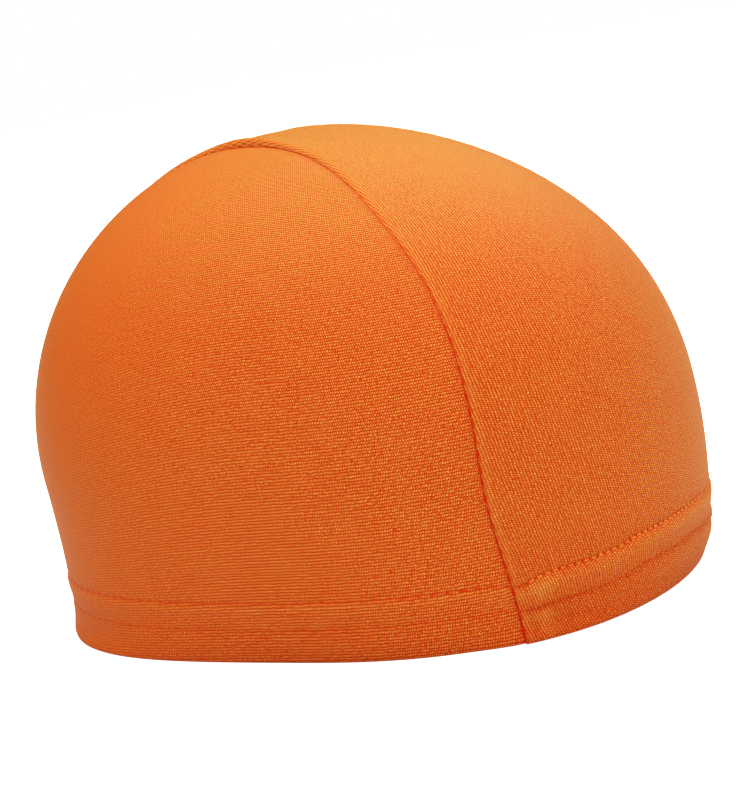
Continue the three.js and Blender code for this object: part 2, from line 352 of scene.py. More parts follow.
def stitch_pull_group():
    """The pull of a row of stitches: a furrow along the row and a sunken nick at each needle hole."""
    numbers = [(label, "NodeSocketFloat") for label in ("Count", "Away", "Furrow", "Nick")]
    tree, entry, leave = new_group("stitch_pull", numbers, ["Line", "Hole"])
    calc = partial(math_node, tree)
    count, away, furrow, nick = (entry.outputs[label] for label, kind in numbers)
    near = calc("DIVIDE", away, furrow)
    squared = calc("MULTIPLY", near, near)
    line = calc("EXPONENT", calc("MULTIPLY", squared, -1.0))
    phase = calc("FRACT", calc("ADD", count, 0.5))
    phase = calc("MULTIPLY", calc("SUBTRACT", phase, 0.5), STITCH)
    along = calc("DIVIDE", phase, calc("MULTIPLY", nick, NICK_LONG))
    close = calc("DIVIDE", away, nick)
    reach = calc("MULTIPLY_ADD", along, along, calc("MULTIPLY", close, close))
    hole = calc("EXPONENT", calc("MULTIPLY", reach, -1.0))
    join = tree.nodes.new("ShaderNodeCombineXYZ")
    tree.links.new(count, join.inputs[0])
    hole = calc("MULTIPLY", hole, spread_noise(tree, join.outputs[0], 1, NICK_UNEVEN))
    tree.links.new(line, leave.inputs["Line"])
    tree.links.new(hole, leave.inputs["Hole"])
    return tree


def attribute_node(tree, name):
    """The values that a mesh carries under a name."""
    made = tree.nodes.new("ShaderNodeAttribute")
    made.attribute_name = name
    return made.outputs["Vector"]


def new_material(name, roughness, specular, sheen, sheen_roughness, tint):
    """A material with its cloth finish set, its node tree and its shader."""
    material = bpy.data.materials.new(name)
    material.use_nodes = True
    shader = material.node_tree.nodes["Principled BSDF"]
    for label, value in (("Roughness", roughness), ("Specular IOR Level", specular), ("Specular Tint", tint),
                         ("Sheen Weight", sheen), ("Sheen Roughness", sheen_roughness), ("Sheen Tint", tint)):
        shader.inputs[label].default_value = value
    return material, material.node_tree, shader


def add_bump(tree, shader, height, strength, distance):
    """Fine relief; the distance is in millimetres."""
    made = tree.nodes.new("ShaderNodeBump")
    made.inputs["Strength"].default_value = strength
    made.inputs["Distance"].default_value = distance * MM
    tree.links.new(height, made.inputs["Height"])
    tree.links.new(made.outputs[0], shader.inputs["Normal"])


def knit_material():
    """The knit, with painted shade and highlights, other marks and stitch pulls that each mesh carries."""
    material, tree, shader = new_material("knit_cloth", roughness=0.55, specular=0.15, sheen=0.08,
                                          sheen_roughness=0.5, tint=(1.0, 0.9, 0.35, 1))
    calc = partial(math_node, tree)
    place = tree.nodes.new("ShaderNodeUVMap")
    place.uv_map = "cloth"
    knit = group_node(tree, knit_group(), Cloth=place.outputs[0])
    colour = mix_node(tree, knit["Face"], FURROW, RIB_FACE)
    # painted shade, painted highlight, and the strength of the hem's nicks
    shade, glow, tight = split_node(tree, attribute_node(tree, "painted_light_and_nicks"))
    # painted highlight: loop tops, more where a glow mark lies, are painted towards the pale LOOP_TOP
    lit = calc("MULTIPLY_ADD", glow, knit["Face"], knit["Tip"])
    colour = mix_node(tree, lit, colour, LOOP_TOP)
    colour = mix_node(tree, knit["Cloud"], colour, LOOP_TOP)
    count, from_upper, from_lower = split_node(tree, attribute_node(tree, "hem_rows"))
    seam_count, from_seam, seam_nick = split_node(tree, attribute_node(tree, "seam_line"))
    # painted shade: the knit is darkened towards the furrows' red where a shade mark lies
    colour = mix_node(tree, shade, colour, FURROW)
    strand_share, calm = split_node(tree, attribute_node(tree, "cloth_changes"))[:2]
    slant = calc("MULTIPLY_ADD", from_seam, STRAND_SLANT, seam_count)
    wave = calc("SINE", calc("MULTIPLY", slant, 2 * math.pi))
    strand = mix_node(tree, calc("MULTIPLY_ADD", wave, 0.5, 0.5), PULLED, STRAND)
    colour = mix_node(tree, calc("MULTIPLY", strand_share, STRAND_SHARE), colour, strand)
    colour = mix_node(tree, calm, colour, EVEN)
    sunk = 0.0
    pulled = 0.0
    pull_group = stitch_pull_group()
    lower_tight = calc("MULTIPLY", tight, LOWER_NICKS)
    for at, away, widths, line_share, hole_share in (
            (count, from_upper, UPPER_ROW, HEM_FURROW, tight),
            (count, from_lower, LOWER_ROW, HEM_FURROW, lower_tight),
            (seam_count, from_seam, SEAM_ROW, SEAM_FURROW, seam_nick)):
        pull = group_node(tree, pull_group, Count=at, Away=away, **widths)
        holes = calc("MULTIPLY", pull["Hole"], hole_share)
        both = calc("MULTIPLY_ADD", pull["Line"], line_share, holes)
        pulled = calc("MAXIMUM", both, pulled)
        sunk = calc("ADD", both, sunk)
    colour = mix_node(tree, calc("MINIMUM", pulled, MOST_PULLED), colour, PULLED)
    tree.links.new(colour, shader.inputs["Base Color"])
    raised = calc("MULTIPLY", knit["Height"], calc("SUBTRACT", 1.0, calm))
    relief = calc("MULTIPLY_ADD", sunk, PULL_SINKS, raised)
    add_bump(tree, shader, relief, strength=0.56, distance=0.2)
    return material


knit_cloth = knit_material()

# Side panels
# One on each side of the head, cut from the knit with its ribs nearly level. Each is sewn to the centre
# panel along one long curved edge. Its lower edge is turned up inside and held by two rows of stitches,
# which pinch the cloth so that it puffs between them and below the lower row.
CLOTH = 0.55  # thickness
SEAM_SLIT = 0.02  # half of the clear slit between the panels' turned edges
SIDE_CORNER = 0.27  # where the panel's rows leave the forehead, as a share of the seam
TURN_DOWN = 1.3  # depth to which a panel's edge is turned in at the seam
TURN_UP = 15.2  # height of the raw edge inside
HEM_DEEP = 2.2  # outer skin to inner skin
HEM_PLAY = 0.9  # how far the outer layer may sink before the turned-up layer gives way
FOLD = HEM_DEEP / 2
BAND_TOP = 24.0  # the cloth's rows are level up to here
INNER_ROWS, OUTER_ROWS = 10, 42  # the mesh's rows in the turned-up layer and the outer one
FOLD_TURNS = (150, 120, 90, 60, 30)  # and those round the fold, in degrees
FOLD_FLAT = 0.25  # share of the fold that is pressed flat where it rests
SKIN_IN = 0.35  # the cloth lies this far inside its solid
HEM_FOOT = -0.2  # how far the bottom edge stands out
FOOT_BEHIND_EAR = (1.9, 48, 24)  # how much more behind the ear, where, and how broadly
FOOT_AT_BROW = (1.7, -1.9)  # the same where it meets the centre panel in front, right and left
FOOT_AT_BROW_WIDTH = 9
FOOT_SHARE = 0.6  # the foot ends at this share of the lower row's height
PUFF_AT_SEAM = 0.35  # share of the puffs that is left beside a seam
LOW_PUFF_LEAN, PUFF_LEAN, PUFF_ROUND = 1.2, 1.9, 0.9  # powers that shape the puffs
PINCH_WIDTH, PUCKER_WIDTH = 0.55, 1.6
PLAIN_ABOVE = 8  # the cloth is plain this far above the upper row
# Heights of the two rows by the distance from the seam, and how far the cloth stands out at each place.
SIDE_HEM = {
    "upper": [(0, 15.3), (2, 15.5), (5, 16.3), (40, 16.9)],
    "lower": [(0, 8.6), (2, 8.8), (5, 9.3), (40, 9.4)],
    "rise": (0.5, 6), "puff": 0.45, "low_puff": 0.3, "pinch": 0.2, "pucker": 0.08,
}
CENTRE_HEM = {
    "upper": [(0, 14.7), (3, 14.9), (8, 16.4), (14, 16.7), (26, 17.0), (36, 18.3)],
    "lower": [(0, 8.4), (3, 8.1), (8, 8.4), (14, 8.7), (26, 9.1), (36, 10.4)],
    "rise": (0.5, 7.5), "puff": 1.25, "low_puff": 0.85, "pinch": 0.3, "pucker": 0.18,
}
SEAM_PUCKER, SEAM_PUCKER_REACH = 0.05, 1.6  # rise of the cloth between the seam's stitches
GROOVE, GROOVE_REACH = 0.2, 0.3  # how deep the side panel sinks at the seam
SEAM_HOLLOW = (0.12, 0, 2.4)  # and beside it
SIDE_COLUMNS = {"count": 380, "dense": 12, "reach": 0.03}
SIDE_ROWS = {"count": 48, "dense": 12, "reach": 0.045}
CLOSER = 1.8  # how strongly rows draw together towards an edge


def hem_relief(hem, z, away, count, foot, flatter=0.0):
    """How far the hem stands out of the plain wall; count is in stitches along the row."""
    upper, lower = through(hem["upper"], away), through(hem["lower"], away)
    fullness = (PUFF_AT_SEAM + (1 - PUFF_AT_SEAM) * smooth(away, *hem["rise"])) * (1 - flatter)
    low = np.clip(z / lower, 0, 1)
    band = np.clip((z - lower) / (upper - lower), 0, 1)
    out = fading(low, foot, 0, FOOT_SHARE)
    out = out + hem["low_puff"] * fullness * np.sin(np.pi * low ** LOW_PUFF_LEAN)
    out = out + hem["puff"] * fullness * np.sin(np.pi * band ** PUFF_LEAN) ** PUFF_ROUND
    for row in (upper, lower):
        out = out - hem["pinch"] * bump(z - row, PINCH_WIDTH)
        out = out - hem["pucker"] * np.cos(2 * np.pi * count) * bump(z - row, PUCKER_WIDTH)
    return np.where(z > upper + PLAIN_ABOVE, 0, out)


def hem_path():
    """Rows from the raw edge inside, round the fold and up the hem: height, depth and cloth height."""
    inner = [(z, -HEM_DEEP, FOLD - math.pi * FOLD - (z - FOLD))
             for z in np.linspace(TURN_UP, FOLD, INNER_ROWS)]
    fold = []
    for angle in np.radians(FOLD_TURNS):
        z = max((1 + FOLD_FLAT) * FOLD * (1 - math.sin(angle)) - FOLD_FLAT * FOLD, 0.0)
        fold.append((z, FOLD * (math.cos(angle) - 1), FOLD - angle * FOLD))
    outer = [(z, 0.0, z) for z in np.linspace(FOLD, BAND_TOP, OUTER_ROWS)]
    return np.array(inner + fold + outer)


def dense_ends(count, dense, reach):
    """Steps from 0 to 1, closer together within reach of both ends."""
    ends = reach * np.linspace(0, 1, dense + 1) ** CLOSER
    middle = np.linspace(reach, 1 - reach, count - 2 * dense + 1)
    return np.concatenate([ends[:-1], middle, 1 - ends[-2::-1]])


def dense_end(count, dense, reach):
    """Steps from 0 to 1, closer together within reach of 1."""
    end = 1 - reach * np.linspace(1, 0, dense + 1)[1:] ** CLOSER
    return np.concatenate([np.linspace(0, 1 - reach, count), end])


def arc_length(point_at, start, end, steps=24):
    """Length of the path that point_at(t) takes between two values of t, for whole arrays."""
    total = np.zeros(np.broadcast(start, end).shape)
    last = point_at(start + 0 * end)
    for k in range(1, steps + 1):
        here = point_at(start + (end - start) * k / steps)
        total = total + np.linalg.norm(here - last, axis=-1)
        last = here
    return total


def seam_pucker(along, away):
    """The cloth rises beside a seam between its stitches."""
    return SEAM_PUCKER * np.cos(2 * np.pi * along / STITCH) * away * np.exp(-away / SEAM_PUCKER_REACH)


def side_dip(along, away):
    """The side panel sinks into the groove at a seam."""
    return -GROOVE * np.exp(-away / GROOVE_REACH) - hump(away, *SEAM_HOLLOW) - seam_pucker(along, away)


def panel_mesh(name, points, cloth, marks):
    """A panel's mesh from a grid that is laid on the given places, with the cloth's own coordinates."""
    rows, columns = points.shape[0] - 1, points.shape[1] - 1
    bm = bmesh.new()
    bmesh.ops.create_grid(bm, x_segments=columns, y_segments=rows, size=0.5)
    grid = np.array([v.co[:2] for v in bm.verts])
    i = np.rint((grid[:, 0] + 0.5) * columns).astype(int)
    j = np.rint((grid[:, 1] + 0.5) * rows).astype(int)
    mesh = bpy.data.meshes.new(name)
    bm.to_mesh(mesh)
    bm.free()
    mesh.vertices.foreach_set("co", (points[j, i] * MM).astype(np.float32).ravel())
    corner = np.zeros(len(mesh.loops), int)
    mesh.loops.foreach_get("vertex_index", corner)
    uv = mesh.uv_layers.new(name="cloth")
    uv.data.foreach_set("uv", cloth[j, i][corner].astype(np.float32).ravel())
    for mark, values in marks.items():
        layer = mesh.attributes.new(mark, "FLOAT_VECTOR", "POINT")
        layer.data.foreach_set("vector", values[j, i].astype(np.float32).ravel())
    mesh.polygons.foreach_set("use_smooth", [True] * len(mesh.polygons))
    mesh.update()
    return mesh


def new_object(name, data):
    made = bpy.data.objects.new(name, data)
    bpy.context.scene.collection.objects.link(made)
    return made


def add_piece(name, mesh, material):
    """A piece of the cap."""
    piece = new_object(name, mesh)
    mesh.materials.append(material)
    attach(piece, "root")
    return piece


def thicken(piece, thickness):
    """Gives a sheet its thickness, inwards from its outer skin."""
    wall = piece.modifiers.new("cloth_thickness", "SOLIDIFY")
    wall.thickness = thickness * MM
    wall.offset = -1


def add_panel(node, points, cloth, marks):
    panel = add_piece(node.replace("panel", "cloth"), panel_mesh(node, points, cloth, marks), knit_cloth)
    thicken(panel, CLOTH)
    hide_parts(node)


def side_places():
    """Turn, climb, depth and cloth height of the right panel's grid, rows from the raw edge to the seam."""
    s = dense_ends(**SIDE_COLUMNS)
    rows = []
    for z, depth, cloth in hem_path():
        ends = []
        for behind in (False, True):
            side = through(STRIP, seam_share_at(z, behind)) + SEAM_SLIT
            ends.append(turn_at_side(np.array(side), np.array(z), behind))
        turn = ends[0] + (ends[1] - ends[0]) * s
        rows.append((turn, climb_at(turn, z), np.full_like(s, depth), np.full_like(s, cloth)))
    low = np.array(rows[-1][:2])
    high = np.array(seam_at(SIDE_CORNER + (1 - 2 * SIDE_CORNER) * s, SEAM_SLIT))
    front_share, back_share = seam_share_at(BAND_TOP, False), seam_share_at(BAND_TOP, True)
    for t in dense_end(**SIDE_ROWS)[1:]:
        front = np.array(seam_at(front_share + (SIDE_CORNER - front_share) * t, SEAM_SLIT))[:, None]
        back = np.array(seam_at(back_share + (1 - SIDE_CORNER - back_share) * t, SEAM_SLIT))[:, None]
        turn, climb = ((1 - t) * low + t * high + (1 - s) * front + s * back
                       - (1 - s) * ((1 - t) * low[:, :1] + t * high[:, :1])
                       - s * ((1 - t) * low[:, -1:] + t * high[:, -1:]))
        rows.append((turn, climb, np.zeros_like(s), np.full_like(s, np.nan)))
    return [np.array(values) for values in zip(*rows)]


EAR = math.radians(92)  # the ribs' length is measured from here
RIB_LEVEL = 50  # cloth height at which the ribs are spaced by RIB
RIB_SPREAD = 0.0009  # and how fast they stand wider apart away from it
RIB_DROOP_FROM, RIB_DROOP_TO = -38, 30  # between these places the ribs bend down towards the nape
DROOP_SLOPE, DROOP_BEND = 0.01, 0.00175
DROOP_HIGHER = 0.016  # how much more they droop with each millimetre of height


def side_cloth(turn, climb, cloth_height):
    """Place on the side panel's cloth: along the ribs and across them."""
    up = arc_length(lambda c: dome_point(turn, c), np.zeros_like(climb), climb)
    round_it = arc_length(lambda t: dome_point(t, climb), EAR + 0 * turn, turn)
    along = np.sign(turn - EAR) * round_it
    height = np.where(np.isnan(cloth_height), up, cloth_height)
    from_level = height - RIB_LEVEL
    bend = np.clip(along, RIB_DROOP_FROM, RIB_DROOP_TO) - RIB_DROOP_FROM
    past = np.maximum(along - RIB_DROOP_TO, 0)
    droop = DROOP_SLOPE * (along - RIB_DROOP_FROM)
    droop = droop + DROOP_BEND * bend * bend + 2 * DROOP_BEND * bend * past
    return along, height + RIB_SPREAD * from_level ** 2 + droop * (1 + DROOP_HIGHER * from_level)


def edged(values, ends):
    """The same grid with a further row or column beside each edge that is turned in at a seam."""
    low, high, first, last = ends
    return np.pad(values, ((low, high), (first, last)), mode="edge")


def turned_in(shape, ends):
    """True in the rows and columns that edged() adds."""
    low, high, first, last = ends
    inside = np.ones((shape[0] - low - high, shape[1] - first - last), bool)
    return ~np.pad(inside, ((low, high), (first, last)), constant_values=False)


def laid_out(turn, climb, depth, relief, turned):
    """Points of the cloth's outer skin. The turned-up layer only follows the outer one where it sinks far."""
    inner = np.clip(-depth / HEM_DEEP, 0, 1)
    sunk = np.minimum(relief + HEM_PLAY, 0)
    skin = relief * (1 - inner) + sunk * inner
    tucked = np.where(depth < 0, np.minimum(skin, sunk), sunk - TURN_DOWN)
    out = np.where(turned, tucked, skin) + depth
    points = dome_point(turn, climb) + outward(turn, climb) * out[..., None]
    points[..., 2] = np.where(turned, np.maximum(points[..., 2], CLOTH), points[..., 2])
    return points


NICK_HIGH = 0.25  # strength of the seam's nicks over the cap
NICK_LOW = (0.75, 60, 110)  # how much more at the brow, and where along the seam that fades


def cloth_marks(hem, z, count, seam_along, seam_away, shade, glow, tight, strands, calm):
    """What the material needs at each point: stitch rows, the seam, painted shade and highlights, other
    marks.
    """
    nick = NICK_HIGH + fading(seam_along, *NICK_LOW)
    unused = 0 * shade
    return {
        "hem_rows": np.stack([count, z - through(hem["upper"], seam_away),
                              z - through(hem["lower"], seam_away)], -1),
        "seam_line": np.stack([seam_along / STITCH, seam_away, nick], -1),
        # painted shade, painted highlight, and the strength of the hem's nicks
        "painted_light_and_nicks": np.stack([shade, glow, unused + tight], -1),
        "cloth_changes": np.stack([strands, calm, unused], -1),
    }


def flipped(marks, axis):
    """The same marks, read backwards along the grid's rows (0) or columns (1)."""
    return {mark: np.flip(values, axis) for mark, values in marks.items()}


SIDE_EDGES = (0, 1, 1, 1)
CROWN_GLOW = (0.3, 80, 124)  # painted highlight: the knit is painted paler towards the crown, where the overhead light falls
# painted shade on the side panel beside the seam, where the centre panel's lip shades it
SEAM_SHADE = (0.2, 0, 1.4)
# painted highlight on the side panel's puff just below the upper row
UPPER_ROW_GLOW = (0.08, -1.5, 0.9)
SIDE_TIGHT, TIGHT_AT_SEAM = 0.5, (0.4, 0, 22)  # strength of the hem's nicks, and more near a seam
SIDE_CALM = (0.8, -25, 62)  # towards the nape the knit is seen as one colour
turn, climb, depth, cloth_height = (edged(values, SIDE_EDGES) for values in side_places())
along, across = side_cloth(turn, climb, cloth_height)
plain = dome_point(turn, climb)
seam_along, seam_away = near_seam(plain)
z = plain[..., 2]
side_foot = HEM_FOOT + hump(plain[..., 1], *FOOT_BEHIND_EAR)
near_brow = bump(seam_away, FOOT_AT_BROW_WIDTH) * (plain[..., 1] < 0)
side_in = side_dip(seam_along, seam_away) - SKIN_IN
near_points, far_points = (
    laid_out(turn, climb, depth, side_in
             + hem_relief(SIDE_HEM, z, seam_away, along / STITCH, side_foot + foot_at_brow * near_brow),
             turned_in(turn.shape, SIDE_EDGES))
    for foot_at_brow in FOOT_AT_BROW)
side_uv = np.stack([along, across], -1)
# shade is painted shade and glow is painted highlight
side_marks = cloth_marks(
    SIDE_HEM, z, along / STITCH, seam_along, seam_away,
    shade=hump(seam_away, *SEAM_SHADE),
    glow=hump(z - through(SIDE_HEM["upper"], seam_away), *UPPER_ROW_GLOW) + rising(z, *CROWN_GLOW),
    tight=SIDE_TIGHT + hump(seam_away, *TIGHT_AT_SEAM),
    strands=0 * z,
    calm=rising(plain[..., 1], *SIDE_CALM))
MIRROR = np.array([-1, 1, 1])
add_panel("side_panel_right", near_points[:, ::-1], side_uv[:, ::-1], flipped(side_marks, 1))
add_panel("side_panel_left", far_points * MIRROR, side_uv, side_marks)

# Centre panel
# A long strip from the forehead over the crown to the nape, cut with its ribs along it. The seam allowances
# are pressed under its edges, which makes a rounded lip beside each seam. Its hem is rolled fuller.
SEAM_LIP = [(0, -0.2), (0.4, 0.08), (1.0, 0.36), (1.9, 0.5), (4.4, 0.28), (8, 0)]
LIP_REACH = SEAM_LIP[-1][0]
LIP_COLUMNS, LIP_CLOSER = 16, 1.9  # the mesh's columns over the lip, closer at its edge
LIP_AT_BROW = 0.25  # share of the lip's height at the brow
LIP_RISE = (0.55, 30, 120)  # how much more over the cap, and where along the seam it rises
LIP_AT_CROWN = (0.9, 185, 35)
RIGHT_PEAK = (1.9, 182, 12)  # a small peak of the right seam at the crown
RIB_SWING_FROM, RIB_SWING_LENGTH = 75, 170  # the ribs run straight here, and lean before and behind
RIB_SWING, RIB_FAN = 15, 0.22
# How far the front hem's bottom edge stands out, by the place across.
FRONT_FOOT = [(-50, 2.2), (-32, 2.6), (-15, 1.8), (10, 0.1), (45, -2.3)]
LEFT_FLATTER = (0.6, -5, 40)  # the hem puffs less towards the left
CORNER_PUFF, CORNER_HOLLOW, CORNER_FADE = (1, 5, 2.2), (1, 10, 3), (0.8, 6, 11)  # at the lower corners
CROWN_DIP = (0.55, 130, 35)  # the strip sinks a little here, before the crown
MIDDLE_COLUMNS, OVER_ROWS = 151, 156
ROUND_FROM, ROUND_TO = 0.15, 0.7  # the mesh's rows bend round the crown from here on
CENTRE_STITCH = 2.1  # shorter here, where the cloth is stretched less


def centre_places():
    """Turn, climb and depth of the centre panel's grid, rows from the front raw edge to the back one."""
    edge = LIP_REACH * np.linspace(0, 1, LIP_COLUMNS) ** LIP_CLOSER
    middle_sides = np.linspace(1, -1, MIDDLE_COLUMNS)[1:-1]

    def columns(half):
        """Places across the strip, from the right edge to the left one."""
        return np.concatenate([half - edge, (half - LIP_REACH) * middle_sides, edge[::-1] - half])

    front_top, back_top = seam_share_at(BAND_TOP, False), seam_share_at(BAND_TOP, True)
    hems = []
    for behind in (False, True):
        rows = []
        for z, depth in hem_path()[:, :2]:
            half = through(STRIP, seam_share_at(z, behind)) - SEAM_SLIT
            side = columns(half)
            sign = np.where(side < 0, -1, 1)
            turn = sign * turn_at_side(np.abs(side), np.full_like(side, z), behind)
            rows.append((turn, climb_at(turn, z), np.full_like(side, depth)))
        hems.append(rows)
    over = []
    for share in np.linspace(front_top, back_top, OVER_ROWS)[1:-1]:
        half = through(STRIP, share) - SEAM_SLIT
        side = columns(half) / half
        rim_turn, rim_climb = seam_at(np.array(share), -SEAM_SLIT)
        x, y = (1 - rim_climb) * np.sin(rim_turn), -(1 - rim_climb) * np.cos(rim_turn)
        roundness = smooth(np.hypot(x, y), ROUND_FROM, ROUND_TO)
        level = np.sign(y) * np.sqrt(x * x + y * y - (x * side) ** 2)
        y = roundness * level + (1 - roundness) * y
        over.append((np.arctan2(x * side, -y), 1 - np.hypot(x * side, y), 0 * side))
    return [np.array(values) for values in zip(*(hems[0] + over + hems[1][::-1]))]


# Painted shade and painted highlights: strength, place and breadth, or strength, start and end. In a pair,
# the first goes by height and the second by the distance from a seam.
# painted shade: the centre panel is painted darker towards the bottom, over the hem and below it
FOOT_SHADE, BROW_SHADE = (0.16, 3, 9), (0.09, 10, 34)
# painted shade in the creases of the hem's two rows near the seam
LOWER_SHADE = (0.4, 0.3, 0.6), (1, 6, 8)
UPPER_SHADE = (0.2, 0.2, 0.6), (1, 2, 4)
# painted highlights on the hem's puffs below and between the rows, at its lower corners, and on the lip
UPPER_GLOW = (0.12, -2.2, 1.5)
LOWER_GLOW = (0.12, -2.2, 1.3), (1, 5, 8)
CORNER_GLOW = (1, 6, 10), (0.16, 6, 2.2)
PUFF_GLOW = (1, 1, 2.4), (0.3, 7, 3)
LIP_GLOW = (0.1, 1.3, 0.9)
STRANDS, STRANDS_LOW, STRANDS_RISE = (1, 1.1, 0.8), 0.15, (0.85, 60, 130)  # weaker at the brow
CENTRE_CALM = (0.6, 8, 48)  # and so it is to the left

CENTRE_EDGES = (0, 0, 1, 1)
turn, climb, depth = (edged(values, CENTRE_EDGES) for values in centre_places())
plain = dome_point(turn, climb)
folded = plain + outward(turn, climb) * depth[..., None]
across = np.pad(np.cumsum(np.linalg.norm(np.diff(folded, axis=1), axis=-1), axis=1), ((0, 0), (1, 0)))
middle = across.shape[1] // 2
across = across - across[:, middle:middle + 1]
along = np.cumsum(np.linalg.norm(np.diff(folded[:, middle], axis=0, prepend=folded[:1, middle]), axis=-1))
along = np.repeat(along[:, None], across.shape[1], 1)
seam_along, seam_away = near_seam(plain)
z = plain[..., 2]
lip_height = LIP_AT_BROW + rising(seam_along, *LIP_RISE) + hump(seam_along, *LIP_AT_CROWN)
lip_height = lip_height + np.where(plain[..., 0] < 0, hump(seam_along, *RIGHT_PEAK), 0)
foot = np.where(plain[..., 1] < 0, through(FRONT_FOOT, plain[..., 0]), HEM_FOOT)
flatter = rising(plain[..., 0], *LEFT_FLATTER)
corner = fading(z, *CORNER_FADE) * (hump(seam_away, *CORNER_PUFF) - hump(seam_away, *CORNER_HOLLOW))
relief = (hem_relief(CENTRE_HEM, z, seam_away, across / CENTRE_STITCH, foot, flatter)
          + seam_pucker(seam_along, seam_away) + through(SEAM_LIP, seam_away) * lip_height
          + corner * (depth == 0) - hump(along, *CROWN_DIP) - SKIN_IN)
centre_points = laid_out(turn, climb, depth, relief, turned_in(turn.shape, CENTRE_EDGES))
swing = 1 - np.cos(np.pi * (along - RIB_SWING_FROM) / RIB_SWING_LENGTH)
centre_uv = np.stack([along, across * (1 + RIB_FAN * swing) - RIB_SWING * swing], -1)
from_upper, from_lower = (z - through(CENTRE_HEM[row], seam_away) for row in ("upper", "lower"))
# shade is painted shade and glow is painted highlight
centre_marks = cloth_marks(
    CENTRE_HEM, z, across / CENTRE_STITCH, seam_along, seam_away,
    shade=fading(z, *FOOT_SHADE) + fading(z, *BROW_SHADE)
    + hump(from_lower, *LOWER_SHADE[0]) * hump(seam_away, *LOWER_SHADE[1])
    + hump(from_upper, *UPPER_SHADE[0]) * hump(seam_away, *UPPER_SHADE[1]),
    glow=rising(z, *CROWN_GLOW) + hump(from_upper, *UPPER_GLOW)
    + hump(from_lower, *LOWER_GLOW[0]) * hump(seam_away, *LOWER_GLOW[1])
    + fading(z, *CORNER_GLOW[0]) * hump(seam_away, *CORNER_GLOW[1])
    + hump((from_lower + from_upper) / 2, *PUFF_GLOW[0]) * hump(seam_away, *PUFF_GLOW[1])
    + hump(seam_away, *LIP_GLOW),
    tight=1.0,
    strands=hump(seam_away, *STRANDS) * (STRANDS_LOW + rising(seam_along, *STRANDS_RISE)),
    calm=rising(plain[..., 0], *CENTRE_CALM))
add_panel("centre_panel", centre_points, centre_uv, centre_marks)

# Hem stitches
# Two rows of polyester needle thread run round the hem, and a looper thread zigzags between them inside
# over the raw edge. The needle thread lies half sunk in the cloth and dips into it at each stitch hole.
THREAD = 0.45  # thickness of the thread where it shows
THREAD_PROUD = 0.12  # how far it stands out of the skin in the front and back upper rows
THREAD_SUNK = 0.13  # and how far it has sunk in elsewhere
STITCH_BATCH = 40  # stitches built at a time, which is faster
STITCH_SIDES, STITCH_RINGS = 8, 7
NEEDLE_SHARE = 0.66  # share of a stitch's length that lies on top of the cloth
LOOPER = 0.4  # thickness of the looper thread
THREAD_GRAIN = 2600  # scale of the thread's twist
THREAD_DARKER = 0.3
THREAD_COLOUR = (1.0, 0.46, 0.08, 1)
HEM_OUTER = slice(INNER_ROWS + len(FOLD_TURNS), INNER_ROWS + len(FOLD_TURNS) + OUTER_ROWS)


def thread_material():
    """Twisted thread a little brighter than the cloth."""
    material, tree, shader = new_material("sewing_thread", roughness=0.5, specular=0.3, sheen=0.15,
                                          sheen_roughness=0.4, tint=(1.0, 0.7, 0.4, 1))
    place = tree.nodes.new("ShaderNodeTexCoord").outputs["Object"]
    strand = noise_node(tree, place, THREAD_GRAIN, 2)
    darker = math_node(tree, "MULTIPLY", strand, THREAD_DARKER)
    colour = mix_node(tree, darker, THREAD_COLOUR, PULLED)
    tree.links.new(colour, shader.inputs["Base Color"])
    add_bump(tree, shader, strand, strength=0.5, distance=0.08)
    return material


def row_line(points, from_row, count):
    """Where a row of stitches crosses the columns of a panel's hem: its points and their stitch counts."""
    above = np.argmax(from_row > 0, axis=0)
    column = np.arange(from_row.shape[1])
    low, high = from_row[above - 1, column], from_row[above, column]
    share = (-low / (high - low))[:, None]
    line = points[above - 1, column] * (1 - share) + points[above, column] * share
    return line, count[above, column]


def at_count(line, count, wanted):
    """Points of a row of stitches at the wanted stitch counts."""
    order = np.argsort(count)
    return np.stack([np.interp(wanted, count[order], line[order, axis]) for axis in range(3)], -1)


def add_stitch(bm, start, end, out, thickness):
    """One stitch as a slim rounded thread from start to end."""
    tangent = (end - start) / np.linalg.norm(end - start)
    across = np.cross(tangent, out)
    across /= np.linalg.norm(across)
    facing = np.cross(across, tangent)
    placing = np.eye(4)
    placing[:3, :3] = np.stack([across * thickness, facing * thickness, end - start], 1) / 2
    placing[:3, 3] = (start + end) / 2
    bmesh.ops.create_uvsphere(bm, u_segments=STITCH_SIDES, v_segments=STITCH_RINGS, radius=1,
                              matrix=Matrix(placing))


def threads(starts, ends, out, thickness):
    """Stitches from each start to its end, each with its outward direction and its thickness."""
    return [(start, end, facing, thickness) for start, end, facing in zip(starts, ends, out)]


def stitched_piece(name, stitches, material):
    """All stitches of one kind, joined into one piece."""
    mesh = bpy.data.meshes.new(name)
    bm = bmesh.new()
    for first in range(0, len(stitches), STITCH_BATCH):
        batch = bmesh.new()
        for stitch in stitches[first:first + STITCH_BATCH]:
            add_stitch(batch, *stitch)
        batch.to_mesh(mesh)
        batch.free()
        bm.from_mesh(mesh)
    for face in bm.faces:
        face.smooth = True
    bmesh.ops.scale(bm, vec=(MM, MM, MM), verts=bm.verts)
    bmesh.ops.recalc_face_normals(bm, faces=bm.faces)
    bm.to_mesh(mesh)
    bm.free()
    return add_piece(name, mesh, material)


def level_out(points):
    """Level directions away from the cap's axis."""
    out = points * (1, 1, 0) - (0, AXIS_BACK, 0)
    return out / np.linalg.norm(out, axis=-1, keepdims=True)


